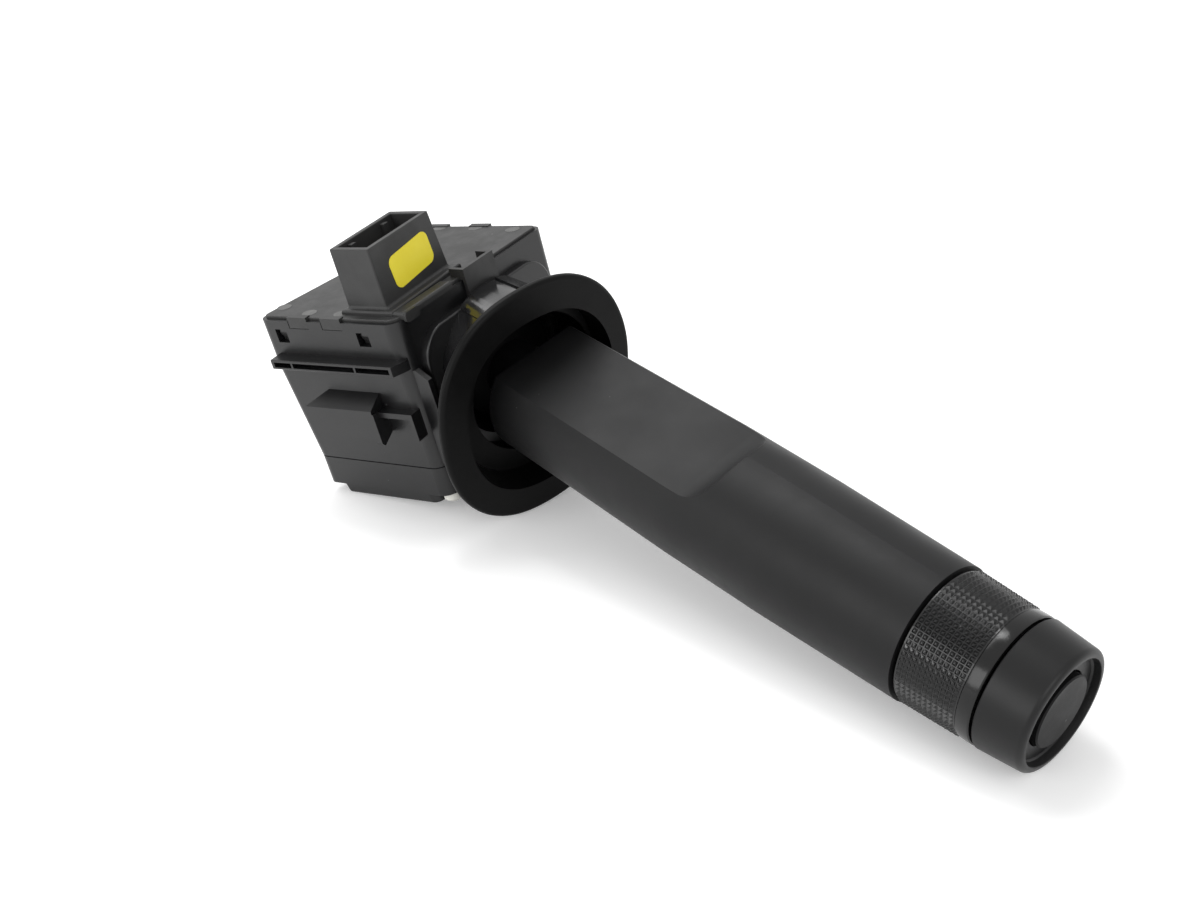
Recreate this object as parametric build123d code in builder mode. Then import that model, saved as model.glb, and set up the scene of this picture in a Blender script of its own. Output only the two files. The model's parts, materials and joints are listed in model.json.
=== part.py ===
"""Combination stalk switch for a steering column, as separate pieces.

The frame is the switch case's own: +X leaves the case on the lever side, +Z goes up through
the plug socket, and the side rails lie on -Y and +Y. The origin is the middle of the
bottom cover's flat underside. Sizes are in millimetres.
"""
from build123d import *
from math import copysign, cos, pi, radians, sin, sqrt
import os

os.makedirs("parts", exist_ok=True)

# Case and covers
case_width = 63.0
front_near_x = 24.0
front_far_x = 28.0
back_near_x = -26.0
back_far_x = -13.5
back_draft = 3.8
corner_r = 2.6
edge_r = 0.6
fine_edge_r = 0.3
near_corner_r = 4.5
wall = 2.0
parting_z = 12.6
shelf_t = 2.0
waist_z = 41.0
rim_z = 55.2
lid_top_z = 56.0
lid_t = 2.0
lid_lip = 1.0
lid_gap = 0.1
cover_step_z = 3.6
seam = 0.35
foot_back_x = -16.8
foot_front_x = 18.0
foot_inset = 1.0
foot_r = 1.5
foot_corner_r = 2.8
foot_rake = 1.2
peg_spot = (21.1, -27.5)
peg_head_r = 2.8
peg_r = 1.4
hook_w = 5.0
hook_t = 1.2

# Side rails and guide
rail_z = 42.4
rail_h = 2.8
rail_out = 4.0
rail_skin = 0.65
rail_back_x = {-1: -22.0, 1: -11.0}
rail_front_x = 21.5
guide_out = 5.0
guide_top_z = 35.0
guide_low_z = 23.4
guide_back_x = -13.8
guide_front_x = 10.2
strip_out = 3.0
strip_z = 29.2
strip_t = 1.6
rib_t = 1.2
end_rib_low_z = 21.3
front_rib_x = 22.2
front_rib_low_z = 22.6

# Snap windows and lid tabs
window_w = 4.1
window_h = 3.3
window_z = 48.7
window_xs = {-1: (-18.4, 11.3), 1: (-2.0, 15.0)}
tab_w = 7.0
tab_h = 2.2
tab_xs = {-1: (-11.0, 1.2), 1: (-8.8, 6.6)}

# Plug socket on the lid
plug_x = 11.3
plug_from_side = 17.5
plug_len = 13.4
plug_wid = 25.2
plug_h = 17.7
plug_wall = 1.6
plug_draft = 2.0
bead_near = 3.2
bead_far = 22.5
bead_h = 1.9
bead_over = 0.6
pocket_near = 27.0
pocket_far = 39.6
pocket_up = 2.3
pocket_out = 1.2
pocket_back = 4.0
pocket_low_z = 50.4
pin_w = 1.0
pin_t = 0.8
pin_rows = 2
pins_per_row = 6
pin_pitch = 3.4
pin_row_pitch = 4.6
pin_up = 9.0
pin_gap = 0.05
label_w = 16.5
label_h = 9.0
label_t = 0.15
label_turn = 5.0

# Boards
board_z = 46.5
board_t = 1.6
board_gap = 0.3
post_r = 3.0
screw_r = 1.1
side_board_x = (-13.2, 14.4)
side_board_top = 44.0
side_board_low = 18.2

# Lever axis
lever_yaw = -19.3
lever_dip = 12.2
axis_z = 30.6
pivot_back = 15.0

# Front socket, collar and bezel, as stations along the lever from its pivot
boss_t = 2.5
boss_low_z = 8.0
boss_top_z = 49.8
edge_rib_out = 3.6
edge_rib_t = 1.6
edge_rib_slope = 2.6
edge_rib_top_z = 41.6
boss_near = 4.5
boss_far = 58.5
socket_r = 18.6
collar_back_r = 20.5
collar_front_r = 23.5
collar_wall = 2.0
collar_front_s = 33.0
collar_fit = 0.1
collar_ribs = 9
collar_rib_h = 0.5
collar_rib_deg = 14.0
bezel_back_s = 29.4
bezel_rim_s = 42.0
bezel_skin = 2.0
bezel_edge_t = 2.2
bezel_lip_s = 33.9
bezel_lip_r = 20.0
funnel_a = 23.1
funnel_b = 24.4
funnel_at = (-2.4, -0.4)
opening_a = 24.4
opening_b = 25.3
opening_at = (-3.2, -0.8)
flange_a = 31.2
flange_b = 34.0
flange_at = (-4.0, -0.1)
oval_power = 2.3
oval_points = 16

# Gimbal
block = 12.0
block_len = 14.0
frame_x = 10.0
frame_y = 8.5
frame_half_len = 6.0
frame_window = 15.0
frame_gap = 0.3
trunnion_r = 4.5
running_gap = 0.05
bush_r = 5.6
pillar_in = 12.5
pillar_t = 4.0
pillar_w = 13.0
flash_pin_r = 2.5
crank_t = 3.0
crank_arm = 10.0
crank_peg_r = 1.5
crank_peg_reach = 4.4
arm_r = 4.4
arm_end = 13.0
fork_peg_s = 11.5
fork_peg_r = 1.4
fork_peg_top = 8.6
plunger_r = 2.5
plunger_reach = 19.0
cam_gap = 0.3
tower_over = 4.8

# Grip
neck_r = 8.6
neck_bore = 3.0
tube_root_s = 37.5
tube_end_s = 166.2
taper_s = 100.0
cone_s = 128.0
tube_r = 17.75
taper_bend = 0.47
tube_taper = 1.8
grip_wall = 1.8
plug_end_s = 60.0
flat_depth = 5.55
flat_turn = 7.0
scoop_s = 104.6
scoop_r = 9.2
shield_r = 15.0
shield_ball = 26.0
shield_t = 1.2

# Turning ring, cap and button
ring_gap = 0.8
knurl_len = 14.1
shoulder_len = 3.2
cap_gap = 0.7
cap_len = 10.4
cap_edge = 1.7
cap_dish = 1.3
button_gap = 0.25
button_recess = 0.4
button_travel = 1.5

half = case_width / 2
fit = 0.1
plug_y = plug_from_side - half
tube_end_r = tube_r - tube_taper
tube_bore = tube_r - flat_depth - grip_wall
knurl_r0 = tube_end_r - 0.25
knurl_r1 = knurl_r0 - 0.7
shoulder_r = knurl_r1 - 0.2
cap_r0 = shoulder_r
cap_r1 = cap_r0 - 0.95
ring_bore = tube_bore + 1.6
spindle_bore = tube_bore - 2.9
nose_r = tube_bore + 0.5
button_r = nose_r - 2.75
knurl_s = tube_end_s + ring_gap
shoulder_s = knurl_s + knurl_len
ring_end_s = shoulder_s + shoulder_len
cap_s = ring_end_s + cap_gap
cap_end_s = cap_s + cap_len
shelf_top = parting_z + shelf_t
lid_seat_z = lid_top_z - lid_t

# The lever's axis leaves the case at the socket point and dips towards the near side.
along = Vector(
    cos(radians(lever_dip)) * cos(radians(lever_yaw)),
    cos(radians(lever_dip)) * sin(radians(lever_yaw)),
    -sin(radians(lever_dip)),
)
across = Vector(-sin(radians(lever_yaw)), cos(radians(lever_yaw)), 0)
pivot = Vector(front_near_x, 0, axis_z) - along * pivot_back
lever = Plane(origin=pivot, x_dir=across, z_dir=along)
section = Plane(origin=pivot, x_dir=along, z_dir=across * -1)
lever_axis = Axis(pivot, along)
up = lever.y_dir

# The lever-side face of the case, seen from outside, from its near edge.
front_run = Vector(front_far_x - front_near_x, case_width, 0)
front = Plane(origin=(front_near_x, -half, 0), x_dir=front_run, z_dir=front_run.cross(Vector(0, 0, 1)))
front_plan = Plane(origin=(front_near_x, -half, 0), x_dir=front_run, z_dir=(0, 0, 1))


def case_outline(z, inset=0.0, draw=0.0):
    """Plan outline of the case at height z; draw pulls the rear edge forward."""
    with BuildSketch(Plane.XY.offset(z)) as outline:
        with BuildLine():
            Polyline(
                (front_near_x, -half),
                (front_far_x, half),
                (back_far_x + draw, half),
                (back_near_x + draw, -half),
                close=True,
            )
        make_face()
        near_front = outline.vertices().sort_by_distance(Vector(front_near_x, -half, z))[0]
        fillet([v for v in outline.vertices() if v != near_front], corner_r)
        near_front = outline.vertices().sort_by_distance(Vector(front_near_x, -half, z))[0]
        fillet(near_front, near_corner_r)
        if inset:
            offset(amount=-inset, mode=Mode.REPLACE)
    return outline.sketch


def foot_outline(z, inset=0.0):
    """Plan outline of the raised foot under the bottom cover, raked to the rear as it rises."""
    skew = back_far_x - back_near_x
    lean = front_far_x - front_near_x
    edge = half - foot_inset
    rake = foot_rake * z / cover_step_z
    with BuildSketch(Plane.XY.offset(z)) as outline:
        with BuildLine():
            Polyline(
                (foot_front_x - rake, -edge),
                (foot_front_x + lean - rake, edge),
                (foot_back_x + skew - rake, edge),
                (foot_back_x - rake, -edge),
                close=True,
            )
        make_face()
        near_front = outline.vertices().sort_by_distance(Vector(foot_front_x, -edge, z))[0]
        fillet([v for v in outline.vertices() if v != near_front], foot_r)
        near_front = outline.vertices().sort_by_distance(Vector(foot_front_x, -edge, z))[0]
        fillet(near_front, foot_corner_r)
        if inset:
            offset(amount=-inset, mode=Mode.REPLACE)
    return outline.sketch


def draw_at(z):
    """How far the rear face has drawn in at height z, below the waist."""
    return back_draft * (waist_z - z) / (waist_z - parting_z)


def side(sign):
    """Plane on a side wall's outer face, its normal outwards, local y up."""
    return Plane(origin=(0, sign * half, 0), x_dir=(-sign, 0, 0), z_dir=(0, sign, 0))


def rotated_profile(points):
    """Face of (station, radius) points, ready to revolve about the lever axis."""
    with BuildSketch(section) as profile:
        with BuildLine():
            Polyline(*points, close=True)
        make_face()
    return profile.sketch


def finish(builder, name):
    """Label a finished piece and write it."""
    builder.part.label = name
    export_step(builder.part, f"parts/{name}.step")


# Where the board posts stand: near front, far front, far back, near back.
post_spots = [
    (front_near_x - 5.6, -half + 5.6),
    (front_far_x - 6.0, half - 5.6),
    (back_far_x + 9.4, half - 5.6),
    (back_near_x + 8.4, -half + 5.6),
]
hook_y = half - wall - hook_t
hook_spots = [(-5.4, -hook_y), (7.6, -hook_y), (3.0, hook_y), (15.0, hook_y)]
plug_spots = [
    (plug_x + (row - (pin_rows - 1) / 2) * pin_row_pitch, plug_y + (col - (pins_per_row - 1) / 2) * pin_pitch)
    for row in range(pin_rows)
    for col in range(pins_per_row)
]
pillar_floor = Plane(origin=(pivot.X, pivot.Y, shelf_top), x_dir=across, z_dir=(0, 0, 1))

# Main case
with BuildPart() as case:
    loft(sections=[case_outline(parting_z, draw=back_draft), case_outline(waist_z)])
    extrude(to_extrude=case_outline(waist_z), amount=rim_z - waist_z)
    loft(
        sections=[case_outline(shelf_top, wall, draw_at(shelf_top)), case_outline(waist_z, wall)],
        mode=Mode.SUBTRACT,
    )
    extrude(to_extrude=case_outline(waist_z, wall), amount=rim_z - waist_z, mode=Mode.SUBTRACT)
    extrude(to_extrude=case_outline(lid_seat_z, lid_lip), amount=rim_z - lid_seat_z, mode=Mode.SUBTRACT)
    # Boss round the lever's opening
    with BuildSketch(front) as boss_face:
        with Locations(((boss_near + boss_far) / 2, (boss_low_z + boss_top_z) / 2)):
            RectangleRounded(boss_far - boss_near, boss_top_z - boss_low_z, 9)
    extrude(amount=boss_t)
    outward = Axis(front.origin, front.z_dir)
    fillet(case.faces().sort_by(outward)[-1].edges(), edge_r)
    # Upright rib along the near front corner, with a sloped top
    edge_rib_side = front.origin + front.x_dir * 1.5
    with BuildSketch(Plane(origin=edge_rib_side, x_dir=front.z_dir, z_dir=front.x_dir * -1)):
        with BuildLine():
            Polyline(
                (-edge_rib_t, edge_rib_top_z),
                (0, edge_rib_top_z),
                (edge_rib_out, edge_rib_top_z - edge_rib_slope),
                (edge_rib_out + 0.6, parting_z + 2.0),
                (-edge_rib_t, parting_z + 0.6),
                close=True,
            )
        make_face()
    extrude(amount=-edge_rib_t)
    # Rails on both sides: box channels with webs
    for sign in (-1, 1):
        with BuildSketch(Plane.XY.offset(rail_z)) as rail_plan:
            with BuildLine():
                Polyline(
                    (rail_back_x[sign], sign * (half - wall / 2)),
                    (rail_front_x + rail_out / 2, sign * (half - wall / 2)),
                    (rail_front_x + rail_out / 2, sign * half),
                    (rail_front_x, sign * (half + rail_out)),
                    (rail_back_x[sign], sign * (half + rail_out)),
                    close=True,
                )
            make_face()
        extrude(amount=rail_h)
        rail_edge_y = sign * (half + rail_out)
        rail_edges = [
            e
            for e in case.edges().filter_by(Axis.X)
            if abs(e.center().Y - rail_edge_y) < 0.01 and rail_z - 0.1 < e.center().Z < rail_z + rail_h + 0.1
        ]
        fillet(rail_edges, fine_edge_r)
        first_bay = rail_back_x[sign] + rail_skin
        bay_ends = (first_bay, first_bay + 7.0, rail_front_x - 12.9, rail_front_x - rail_skin)
        for start, stop in zip(bay_ends[:-1], bay_ends[1:]):
            with BuildSketch(side(sign).offset(rail_out)) as bay:
                with Locations((-sign * (start + stop) / 2, rail_z + rail_h / 2)):
                    Rectangle(stop - start - rail_skin, rail_h - 2 * rail_skin)
            extrude(amount=-(rail_out - rail_skin), mode=Mode.SUBTRACT)
    # Guide on the near side: sloped top, slanted rear end, end rib, strip and front rib
    with BuildSketch(Plane.YZ.offset(guide_back_x)) as guide_profile:
        with BuildLine():
            Polyline(
                (-half + wall / 2, guide_top_z),
                (-half, guide_top_z),
                (-half - guide_out, guide_top_z - 3.0),
                (-half - guide_out, guide_low_z),
                (-half + wall / 2, guide_low_z),
                close=True,
            )
        make_face()
    extrude(amount=guide_front_x - guide_back_x)
    with BuildSketch(Plane.XY.offset(guide_low_z)) as slant:
        with BuildLine():
            Polyline(
                (guide_back_x, -half - guide_out),
                (guide_back_x + 5.8, -half),
                (guide_back_x - 1, -half),
                (guide_back_x - 1, -half - guide_out),
                close=True,
            )
        make_face()
    extrude(amount=guide_top_z - guide_low_z + 1, mode=Mode.SUBTRACT)
    with BuildSketch(Plane.YZ.offset(guide_front_x - rib_t)):
        with BuildLine():
            Polyline(
                (-half + wall / 2, guide_top_z - 4.0),
                (-half - guide_out, guide_top_z - 4.0),
                (-half - guide_out, end_rib_low_z + 1.0),
                (-half - guide_out + 0.9, end_rib_low_z),
                (-half + wall / 2, guide_low_z + 0.6),
                close=True,
            )
        make_face()
    extrude(amount=rib_t + 0.4)
    with BuildSketch(Plane.XZ.offset(half - wall / 2)):
        with Locations(((guide_front_x + front_rib_x) / 2, strip_z + strip_t / 2)):
            Rectangle(front_rib_x - guide_front_x, strip_t)
    extrude(amount=strip_out + wall / 2)
    with BuildSketch(Plane.XZ.offset(half - wall / 2)):
        with BuildLine():
            Line((front_rib_x - rib_t, strip_z + strip_t), (front_rib_x - rib_t, front_rib_low_z + rib_t / 2))
            TangentArc(
                (front_rib_x - rib_t, front_rib_low_z + rib_t / 2),
                (front_rib_x, front_rib_low_z + rib_t / 2),
                tangent=(0, -1),
            )
            Polyline(
                (front_rib_x, front_rib_low_z + rib_t / 2),
                (front_rib_x, strip_z + strip_t),
                (front_rib_x - rib_t, strip_z + strip_t),
            )
        make_face()
    extrude(amount=strip_out + wall / 2)
    # Snap windows with a small notch, and seats for the lid's tabs
    for sign in (-1, 1):
        for x in window_xs[sign]:
            with BuildSketch(side(sign)) as window:
                with Locations((-sign * x, window_z + window_h / 2)):
                    Rectangle(window_w, window_h)
                with Locations((-sign * (x - window_w / 4), window_z + window_h)):
                    Rectangle(window_w / 2, 1.2)
            extrude(amount=-wall, mode=Mode.SUBTRACT)
        for x in tab_xs[sign]:
            with BuildSketch(side(sign)) as seat:
                with Locations((-sign * x, rim_z)):
                    Rectangle(tab_w + 2 * lid_gap, 2 * tab_h)
            extrude(amount=-wall, mode=Mode.SUBTRACT)
    # Board posts, pillars for the gimbal and ribs for the side board
    with BuildSketch(Plane.XY.offset(parting_z)):
        with Locations(*post_spots):
            Circle(post_r)
    extrude(amount=board_z - parting_z)
    with BuildSketch(Plane.XY.offset(board_z)):
        with Locations(*post_spots):
            Circle(screw_r)
    extrude(amount=-8, mode=Mode.SUBTRACT)
    with BuildSketch(pillar_floor):
        for sign in (-1, 1):
            with Locations((sign * (pillar_in + pillar_t / 2), 0)):
                Rectangle(pillar_t, pillar_w)
    extrude(amount=pivot.Z - shelf_top + bush_r + 1.3)
    for x in (side_board_x[0] - fit - 0.4, side_board_x[1] + fit + 0.4):
        with BuildSketch(Plane.XY.offset(shelf_top)):
            with Locations((x, -half + wall + 1.0)):
                Rectangle(0.8, 2.2)
        extrude(amount=side_board_top - shelf_top)
    for x in (side_board_x[0] + 1.2, 1.0, side_board_x[1] - 1.2):
        with BuildSketch(Plane.XY.offset(shelf_top)):
            with Locations((x, -half + wall + 0.8)):
                Rectangle(2.4, 1.8)
        extrude(amount=side_board_low - shelf_top)
    # Bores for the trunnion bushes
    with BuildSketch(Plane(origin=pivot, x_dir=along, z_dir=across)):
        Circle(bush_r)
    extrude(amount=pillar_in + pillar_t, both=True, mode=Mode.SUBTRACT)
    # Opening for the lever
    with BuildSketch(lever.offset(8)):
        Circle(socket_r)
    extrude(amount=36, mode=Mode.SUBTRACT)
    # Slots for the bottom cover's hooks
    with BuildSketch(Plane.XY.offset(parting_z)):
        with Locations(*hook_spots):
            Rectangle(hook_w + 2 * fit, hook_t + 4 * fit)
    extrude(amount=shelf_t, mode=Mode.SUBTRACT)

# Lid with plug socket
plug_floor_z = lid_top_z
with BuildPart() as lid:
    extrude(to_extrude=case_outline(lid_seat_z, lid_lip + lid_gap), amount=lid_t)
    fillet(lid.faces().sort_by(Axis.Z)[-1].edges(), fine_edge_r)
    # Foot step, then the socket's four walls, the far one with draft
    with BuildSketch(Plane.XY.offset(lid_top_z)):
        with Locations((plug_x + 0.6, plug_y + plug_draft / 2)):
            Rectangle(plug_len + 4.2, plug_wid + 3.0 + plug_draft)
    extrude(amount=1.2)
    fillet(lid.faces().sort_by(Axis.Z)[-1].edges(), edge_r)
    with BuildSketch(Plane.XY.offset(lid_top_z)):
        with Locations((plug_x, plug_y + plug_draft / 2)):
            Rectangle(plug_len, plug_wid + plug_draft)
    with BuildSketch(Plane.XY.offset(lid_top_z + plug_h)):
        with Locations((plug_x, plug_y)):
            Rectangle(plug_len, plug_wid)
    loft()
    upright = [
        e
        for e in lid.edges()
        if e.length > plug_h * 0.8 and abs(e.center().Z - lid_top_z - plug_h / 2) < 2
    ]
    fillet(upright, 0.5)
    with BuildSketch(Plane.XY.offset(plug_floor_z)):
        with Locations((plug_x, plug_y)):
            Rectangle(plug_len - 2 * plug_wall, plug_wid - 2 * plug_wall)
    extrude(amount=plug_h, mode=Mode.SUBTRACT)
    fillet(lid.faces().sort_by(Axis.Z)[-1].edges(), fine_edge_r)
    # Bead along the front edge, over the case's rim, with a lip at the near corner
    with BuildSketch(front.offset(-3.4)):
        with Locations(((bead_near + bead_far) / 2, rim_z + fit + bead_h / 2)):
            Rectangle(bead_far - bead_near, bead_h)
    extrude(amount=3.4 + bead_over)
    bead_edges = [e for e in lid.edges() if abs(e.center().Z - rim_z - fit - bead_h) < 0.01]
    fillet(bead_edges, edge_r + 0.2)
    with BuildSketch(front.offset(fit)):
        with Locations((bead_near + 2.6, rim_z + fit + 0.4)):
            RectangleRounded(5.2, 2.8, 1.0)
    extrude(amount=bead_over + 0.4)
    # Keying ribs inside the socket's rear wall
    with BuildSketch(Plane.XY.offset(plug_floor_z)):
        with Locations(*[(plug_x - plug_len / 2 + plug_wall + 0.7, plug_y + dy) for dy in (-6.5, 6.8)]):
            Rectangle(1.6, 1.8)
    extrude(amount=plug_h - 1.0)
    # Holes for the pins
    with BuildSketch(Plane.XY.offset(lid_seat_z)):
        with Locations(*plug_spots):
            Rectangle(pin_t + 2 * pin_gap, pin_w + 2 * pin_gap)
    extrude(amount=lid_t + 1.2, mode=Mode.SUBTRACT)
    # Open pocket at the front edge: a wall that hangs over the case's front, and two short sides
    pocket_mid = (pocket_near + pocket_far) / 2
    pocket_w = pocket_far - pocket_near
    with BuildSketch(front_plan.offset(rim_z + fit)):
        with Locations((pocket_mid, (pocket_back - pocket_out) / 2)):
            Rectangle(pocket_w, pocket_back + pocket_out)
    extrude(amount=lid_top_z + pocket_up - rim_z - fit)
    with BuildSketch(front_plan.offset(lid_top_z)):
        with Locations((pocket_mid, (pocket_back + 1) / 2)):
            Rectangle(pocket_w - 2 * 1.1, pocket_back + 1)
    extrude(amount=pocket_up, mode=Mode.SUBTRACT)
    with BuildSketch(front.offset(fit)):
        with Locations((pocket_mid, (pocket_low_z + lid_top_z) / 2)):
            Rectangle(pocket_w, lid_top_z - pocket_low_z)
    extrude(amount=pocket_out - fit)
    with BuildSketch(front_plan.offset(lid_top_z)):
        with Locations((pocket_far - 4.0, 2.4)):
            Rectangle(3.6, 2.2)
    extrude(amount=-1.3, mode=Mode.SUBTRACT)
    # Tabs over the case's rim and snap legs behind its windows
    for sign in (-1, 1):
        for x in tab_xs[sign]:
            with BuildSketch(side(sign).offset(fit - wall)):
                with Locations((-sign * x, (lid_top_z + 0.3 + rim_z - tab_h + fit) / 2)):
                    Rectangle(tab_w, lid_top_z + 0.3 - rim_z + tab_h - fit)
            extrude(amount=wall - 2 * fit)
        for x in window_xs[sign]:
            with BuildSketch(Plane.XZ.offset(-sign * (half - wall - fit))):
                with Locations((x, (window_z + lid_seat_z) / 2)):
                    Rectangle(window_w - 0.4, lid_seat_z - window_z)
            extrude(amount=1.2 * sign)
            with BuildSketch(Plane.YZ.offset(x - window_w / 2 + 0.4)):
                with BuildLine():
                    Polyline(
                        (sign * (half - wall - 0.6), window_z + 0.3),
                        (sign * (half - wall - fit), window_z + 0.3),
                        (sign * (half - wall + 0.9), window_z + window_h - 0.9),
                        (sign * (half - wall + 0.9), window_z + window_h - 0.3),
                        (sign * (half - wall - 0.6), window_z + window_h - 0.3),
                        close=True,
                    )
                make_face()
            extrude(amount=window_w - 0.8)
    # Bosses that press the board down
    with BuildSketch(Plane.XY.offset(board_z + board_t)):
        with Locations((-8, -8), (-4, 18), (19, 20)):
            Circle(2)
    extrude(amount=lid_seat_z - board_z - board_t)

# Bottom cover
with BuildPart() as bottom_cover:
    extrude(to_extrude=case_outline(cover_step_z, 0, back_draft), amount=parting_z - cover_step_z)
    loft(sections=[foot_outline(0), foot_outline(cover_step_z)])
    fillet(bottom_cover.faces().sort_by(Axis.Z)[0].edges(), edge_r)
    # Shadow seam under the case
    with BuildSketch(Plane.XY.offset(parting_z - seam)):
        add(case_outline(0, 0, back_draft))
        add(case_outline(0, seam, back_draft), mode=Mode.SUBTRACT)
    extrude(amount=seam, mode=Mode.SUBTRACT)
    extrude(
        to_extrude=case_outline(cover_step_z + wall, wall, back_draft),
        amount=parting_z - cover_step_z - wall,
        mode=Mode.SUBTRACT,
    )
    extrude(to_extrude=foot_outline(wall, wall), amount=cover_step_z, mode=Mode.SUBTRACT)
    # Hole for the white peg
    with BuildSketch(Plane.XY.offset(cover_step_z)):
        with Locations(peg_spot):
            Circle(peg_r + 0.05)
    extrude(amount=wall, mode=Mode.SUBTRACT)
    # Hooks that reach through the case's shelf
    for x, y in hook_spots:
        inward = -1 if y > 0 else 1
        with BuildSketch(Plane.XY.offset(cover_step_z + wall - 0.5)):
            with Locations((x, y)):
                Rectangle(hook_w, hook_t)
        extrude(amount=shelf_top + 3.0 - cover_step_z - wall + 0.5)
        with BuildSketch(Plane.YZ.offset(x - hook_w / 2)):
            with BuildLine():
                Polyline(
                    (y + inward * 0.4, shelf_top + fit),
                    (y + inward * 1.6, shelf_top + fit),
                    (y + inward * 0.4, shelf_top + 3.0),
                    close=True,
                )
            make_face()
        extrude(amount=hook_w)

# Main board, its screws, tracks and pins
with BuildPart() as main_board:
    extrude(to_extrude=case_outline(board_z, wall + board_gap), amount=board_t)
    with BuildSketch(Plane.XY.offset(board_z)):
        with Locations(*post_spots):
            Circle(screw_r + 0.15)
        with Locations(*plug_spots):
            Rectangle(pin_t + 2 * pin_gap, pin_w + 2 * pin_gap)
    extrude(amount=board_t, mode=Mode.SUBTRACT)

with BuildPart() as board_screws:
    with BuildSketch(Plane.XY.offset(board_z + board_t)):
        with Locations(post_spots[1], post_spots[3]):
            Circle(2.2)
    extrude(amount=1.4)
    with BuildSketch(Plane.XY.offset(board_z + board_t)):
        with Locations(post_spots[1], post_spots[3]):
            Circle(screw_r - 0.02)
    extrude(amount=-7.5)

with BuildPart() as connector_pins:
    with BuildSketch(Plane.XY.offset(board_z - 0.8)):
        with Locations(*plug_spots):
            Rectangle(pin_t, pin_w)
    extrude(amount=plug_floor_z + pin_up - board_z + 0.8)
    chamfer(connector_pins.faces().filter_by(Axis.Z).group_by(Axis.Z)[-1].edges(), 0.25)

fork_spot = pivot - along * fork_peg_s + up * fork_peg_top
fork_floor_z = fork_spot.Z - 1.6
fork_top_z = board_z - 0.8
fork_plane = Plane(origin=(fork_spot.X, fork_spot.Y, fork_floor_z), x_dir=across, z_dir=(0, 0, 1))
with BuildPart() as fixed_contacts:
    with BuildSketch(Plane(origin=(fork_spot.X, fork_spot.Y, board_z), x_dir=across, z_dir=(0, 0, 1))):
        with Locations((-3.2, 6.2), (0, 6.2), (3.2, 6.2)):
            Rectangle(1.6, 5.0)
    extrude(amount=-0.25)

# Flash slider: a forked plate under the main board, with its wipers
with BuildPart() as flash_slider:
    with BuildSketch(fork_plane):
        with Locations((0, 4.0)):
            RectangleRounded(13.0, 12.0, 1.2)
        with Locations((0, -0.1)):
            Rectangle(2 * fork_peg_r + 0.2, 6.6, mode=Mode.SUBTRACT)
    extrude(amount=fork_top_z - fork_floor_z)

with BuildPart() as flash_wipers:
    with BuildSketch(Plane(origin=(fork_spot.X, fork_spot.Y, fork_top_z), x_dir=across, z_dir=(0, 0, 1))):
        with Locations((-3.2, 6.2), (0, 6.2), (3.2, 6.2)):
            Rectangle(0.8, 3.0)
    extrude(amount=board_z - 0.25 - fork_top_z - 0.02)

# Side board on the near wall with its tracks
side_y = -half + wall + fit
side_mid_x = (side_board_x[0] + side_board_x[1]) / 2
side_mid_z = (side_board_low + side_board_top) / 2
with BuildPart() as side_board:
    with BuildSketch(Plane.XZ.offset(-side_y)):
        with Locations((side_mid_x, side_mid_z)):
            Rectangle(side_board_x[1] - side_board_x[0], side_board_top - side_board_low)
    extrude(amount=-board_t)

track_y = side_y + board_t
slider_y0 = track_y + 0.8
slider_y1 = slider_y0 + 6.4
peg_root = pivot - along * crank_arm
crank_peg_end = (peg_root.Y - slider_y1 + crank_peg_reach) / across.Y
peg_tip = peg_root - across * crank_peg_end
with BuildPart() as side_contacts:
    with BuildSketch(Plane.XZ.offset(-track_y)):
        for dz in (-2.6, 0, 2.6):
            with Locations((peg_tip.X + 0.4, peg_tip.Z + dz)):
                Rectangle(4.8, 1.2)
    extrude(amount=-0.25)

# Signal slider: moves up and down on the side board, led by the crank's peg
slider_w = 8.0
slider_h = 10.0
with BuildPart() as signal_slider:
    with BuildSketch(Plane.XZ.offset(-slider_y0)):
        with Locations((peg_tip.X + 0.4, peg_tip.Z)):
            RectangleRounded(slider_w, slider_h, 1.0)
    extrude(amount=-(slider_y1 - slider_y0))
    with BuildSketch(Plane.XZ.offset(-slider_y1)):
        with Locations((peg_tip.X + 0.7, peg_tip.Z)):
            Rectangle(6.2, 2 * crank_peg_r + 0.5)
    extrude(amount=5.0, mode=Mode.SUBTRACT)

with BuildPart() as signal_wipers:
    with BuildSketch(Plane.XZ.offset(-slider_y0)):
        for dz in (-2.6, 0, 2.6):
            with Locations((peg_tip.X + 0.4, peg_tip.Z + dz)):
                Rectangle(3.0, 0.7)
    extrude(amount=slider_y0 - track_y - 0.25 - 0.02)

# Cam tower: dished face for the detent plunger, against the rear wall
with BuildPart() as cam_tower:
    cam_spot = pivot - along * plunger_reach
    tower = case_outline(shelf_top, wall + fit, draw_at(shelf_top))
    extrude(to_extrude=tower, amount=cam_spot.Z + tower_over - shelf_top)
    tower_floor = Plane(origin=(cam_spot.X - 2.0, cam_spot.Y, shelf_top), x_dir=across, z_dir=(0, 0, 1))
    with BuildSketch(tower_floor):
        Rectangle(13.0, 15.0)
    extrude(amount=cam_spot.Z + tower_over - shelf_top, mode=Mode.INTERSECT)
    add(
        Sphere(plunger_reach + cam_gap, mode=Mode.PRIVATE).move(Location(pivot)),
        mode=Mode.SUBTRACT,
    )

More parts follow.
